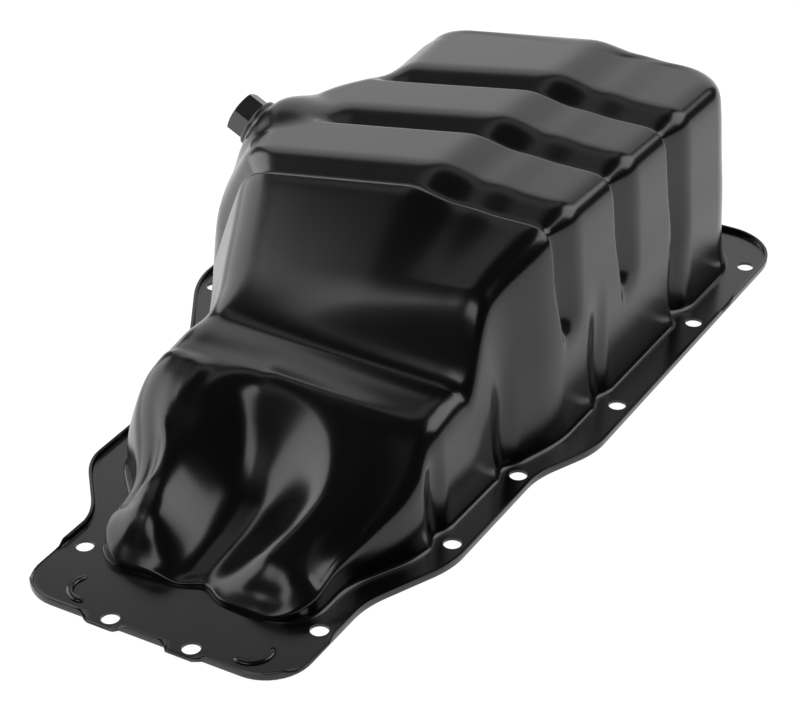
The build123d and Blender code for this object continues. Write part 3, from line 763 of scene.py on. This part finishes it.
def blank(name):
    # material without any nodes
    material = bpy.data.materials.new(name)
    material.use_nodes = True
    tree = material.node_tree
    tree.nodes.clear()
    return material, tree


# sizes of the patterns, mm
RIPPLE, PATCH, GRAIN = 3.846, 35.71, 1.111


def black_enamel():
    # stoved semi-gloss black enamel on pressed steel: deep black, soft-edged
    # highlights that waver over a very shallow ripple a few millimetres across,
    # and patches a little duller than the rest
    material, tree = blank("stoved_black_enamel")
    where = add_node(tree, "ShaderNodeTexCoord")
    ripple = add_node(tree, "ShaderNodeTexNoise", [(where.outputs["Object"], "Vector")],
                      Scale=1000 / RIPPLE, Detail=2.0, Roughness=0.5)
    patch = add_node(tree, "ShaderNodeTexNoise", [(where.outputs["Object"], "Vector")],
                     Scale=1000 / PATCH, Detail=3.0)
    rough = add_node(tree, "ShaderNodeMapRange", [(patch.outputs["Fac"], "Value")],
                     To_Min=0.19, To_Max=0.24)
    bump = add_node(tree, "ShaderNodeBump", [(ripple.outputs["Fac"], "Height")],
                    Strength=0.25, Distance=0.00003)
    shader = add_node(tree, "ShaderNodeBsdfPrincipled",
                      [(rough.outputs["Result"], "Roughness"),
                       (bump.outputs["Normal"], "Normal")])
    shader.inputs["Base Color"].default_value = linear("#0a0a0b")
    shader.inputs["IOR"].default_value = 1.5
    add_node(tree, "ShaderNodeOutputMaterial", [(shader.outputs["BSDF"], "Surface")])
    return material


def fastener_metal(name, colour, roughness):
    # turned or pressed metal without gloss: soft highlights, broken up by a fine
    # grain, which is drawn coarser than the real one so that it shows
    material, tree = blank(name)
    where = add_node(tree, "ShaderNodeTexCoord")
    grain = add_node(tree, "ShaderNodeTexNoise", [(where.outputs["Object"], "Vector")],
                     Scale=1000 / GRAIN, Detail=3.0)
    rough = add_node(tree, "ShaderNodeMapRange", [(grain.outputs["Fac"], "Value")],
                     To_Min=roughness - 0.06, To_Max=roughness + 0.08)
    shader = add_node(tree, "ShaderNodeBsdfPrincipled", [(rough.outputs["Result"], "Roughness")])
    shader.inputs["Base Color"].default_value = linear(colour)
    shader.inputs["Metallic"].default_value = 1.0
    add_node(tree, "ShaderNodeOutputMaterial", [(shader.outputs["BSDF"], "Surface")])
    return material


def paint(obj, material):
    # the object gets this one finish
    obj.data.materials.clear()
    obj.data.materials.append(material)


enamel = black_enamel()
# electroplated and passivated steel: a dark even grey with a low shine
zinc = fastener_metal("dull_zinc_plate", "#5a5a5c", 0.38)
# bare soft metal: paler than the plug and duller
soft_metal = fastener_metal("annealed_washer_metal", "#8c8a86", 0.45)

# -------------------------------------------------------------------- pieces
sheet = pan_sheet()
press_beads(sheet)
cut_holes(sheet)
only(sheet)
bpy.ops.object.shade_smooth_by_angle(angle=SHEET_SMOOTH)
paint(sheet, enamel)
sheet.name = "pan_shell_drawn"
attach(sheet, "pan")
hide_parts("pan_shell")

plug = drain_plug()
paint(plug, zinc)
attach(plug, "plug")
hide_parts("drain_plug")

washer = crush_washer()
paint(washer, soft_metal)
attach(washer, "washer")
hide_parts("drain_plug_washer")

# the nut is welded in before the pan is enamelled
paint(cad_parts["drain_weld_nut"], enamel)

# ------------------------------------------------------------ floor and light
FLOOR_SIZE, FLOOR_WHITE, WHITE_SHARE = 14, 1.9, 0.5
SKY_STRENGTH = 0.04
PANEL_DISTANCE, PANEL_AIM_Z = 1.6, 0.05

bpy.ops.object.select_all(action="DESELECT")
bpy.ops.mesh.primitive_plane_add(size=FLOOR_SIZE, location=(0, 0, 0))
floor = bpy.context.active_object
floor.name = "floor"
# matt grey that lights the pan as a real floor would; a ray that shows the floor,
# seen, through something or mirrored, has an even white mixed in
material, tree = blank("pale_floor")
path = add_node(tree, "ShaderNodeLightPath")
direct = add_node(tree, "ShaderNodeMath", [(path.outputs["Is Camera Ray"], 0),
                                           (path.outputs["Is Transmission Ray"], 1)],
                  operation="MAXIMUM")
shown = add_node(tree, "ShaderNodeMath", [(direct.outputs[0], 0),
                                          (path.outputs["Is Glossy Ray"], 1)],
                 operation="MAXIMUM")
share = add_node(tree, "ShaderNodeMath", [(shown.outputs[0], 0)], operation="MULTIPLY")
share.inputs[1].default_value = WHITE_SHARE
matt = add_node(tree, "ShaderNodeBsdfDiffuse")
matt.inputs["Color"].default_value = linear("#b4b4b4")
glow = add_node(tree, "ShaderNodeEmission")
glow.inputs["Strength"].default_value = FLOOR_WHITE
mixed = add_node(tree, "ShaderNodeMixShader", [(share.outputs[0], "Fac"),
                                               (matt.outputs["BSDF"], 1),
                                               (glow.outputs["Emission"], 2)])
add_node(tree, "ShaderNodeOutputMaterial", [(mixed.outputs["Shader"], "Surface")])
paint(floor, material)

world = bpy.data.worlds.new("studio")
bpy.context.scene.world = world
world.use_nodes = True
tree = world.node_tree
tree.nodes.clear()
sky = add_node(tree, "ShaderNodeBackground")
sky.inputs["Color"].default_value = linear("#ffffff")
sky.inputs["Strength"].default_value = SKY_STRENGTH
add_node(tree, "ShaderNodeOutputWorld", [(sky.outputs["Background"], "Surface")])


def soft_box(name, azimuth, elevation, wide, high, radiance):
    # light panel at this bearing from +X and this height, both in degrees, that
    # the pan sees under these angles
    a, e = math.radians(azimuth), math.radians(elevation)
    lamp = bpy.data.lights.new(name, "AREA")
    lamp.shape = "RECTANGLE"
    lamp.size = 2 * PANEL_DISTANCE * math.tan(math.radians(wide / 2))
    lamp.size_y = 2 * PANEL_DISTANCE * math.tan(math.radians(high / 2))
    lamp.energy = radiance * math.pi * lamp.size * lamp.size_y
    holder = bpy.data.objects.new(name, lamp)
    bpy.context.scene.collection.objects.link(holder)
    away = Vector((math.cos(a) * math.cos(e), math.sin(a) * math.cos(e), math.sin(e)))
    holder.location = away * PANEL_DISTANCE + Vector((0, 0, PANEL_AIM_Z))
    holder.rotation_euler = (-away).to_track_quat("-Z", "Y").to_euler()
    holder.visible_camera = False


soft_box("backdrop", 22, 16, 60, 51, 0.98)
soft_box("right", -45, 42, 40, 38, 2.8)
soft_box("left", 100, 20, 62, 42, 2.4)
soft_box("left_high", 50, 58, 50, 14, 0.5)
soft_box("front", 174, 40, 34, 18, 2.6)

# -------------------------------------------------------------------- camera
FRAME_WIDTH, FOCAL_LENGTH = 800, 2501     # both in pixels of the frame
SENSOR_WIDTH = 36.0                     # mm
BEARING, HEIGHT_ANGLE, ROLL = -59.1, 31.91, -1.01  # degrees
AIM = (0, 19.02, 0)                     # mm, in the pan's own frame
DISTANCE = 1.0416                       # m

camera = bpy.data.objects.new("camera", bpy.data.cameras.new("camera"))
bpy.context.scene.collection.objects.link(camera)
bpy.context.scene.camera = camera
camera.data.sensor_width = SENSOR_WIDTH
camera.data.lens = FOCAL_LENGTH * SENSOR_WIDTH / FRAME_WIDTH
a, e = math.radians(BEARING), math.radians(HEIGHT_ANGLE)
back = Vector((math.sin(a) * math.cos(e), -math.cos(a) * math.cos(e), math.sin(e)))
target = (Vector(AIM) - Vector(CENTRE)) / 1000
camera.location = target + back * DISTANCE
camera.rotation_mode = "QUATERNION"
camera.rotation_quaternion = (-back).to_track_quat("-Z", "Y") @ \
    Matrix.Rotation(math.radians(ROLL), 3, "Z").to_quaternion()
camera.data.clip_start, camera.data.clip_end = 0.05, 50

bpy.context.scene.view_settings.view_transform = "Standard"
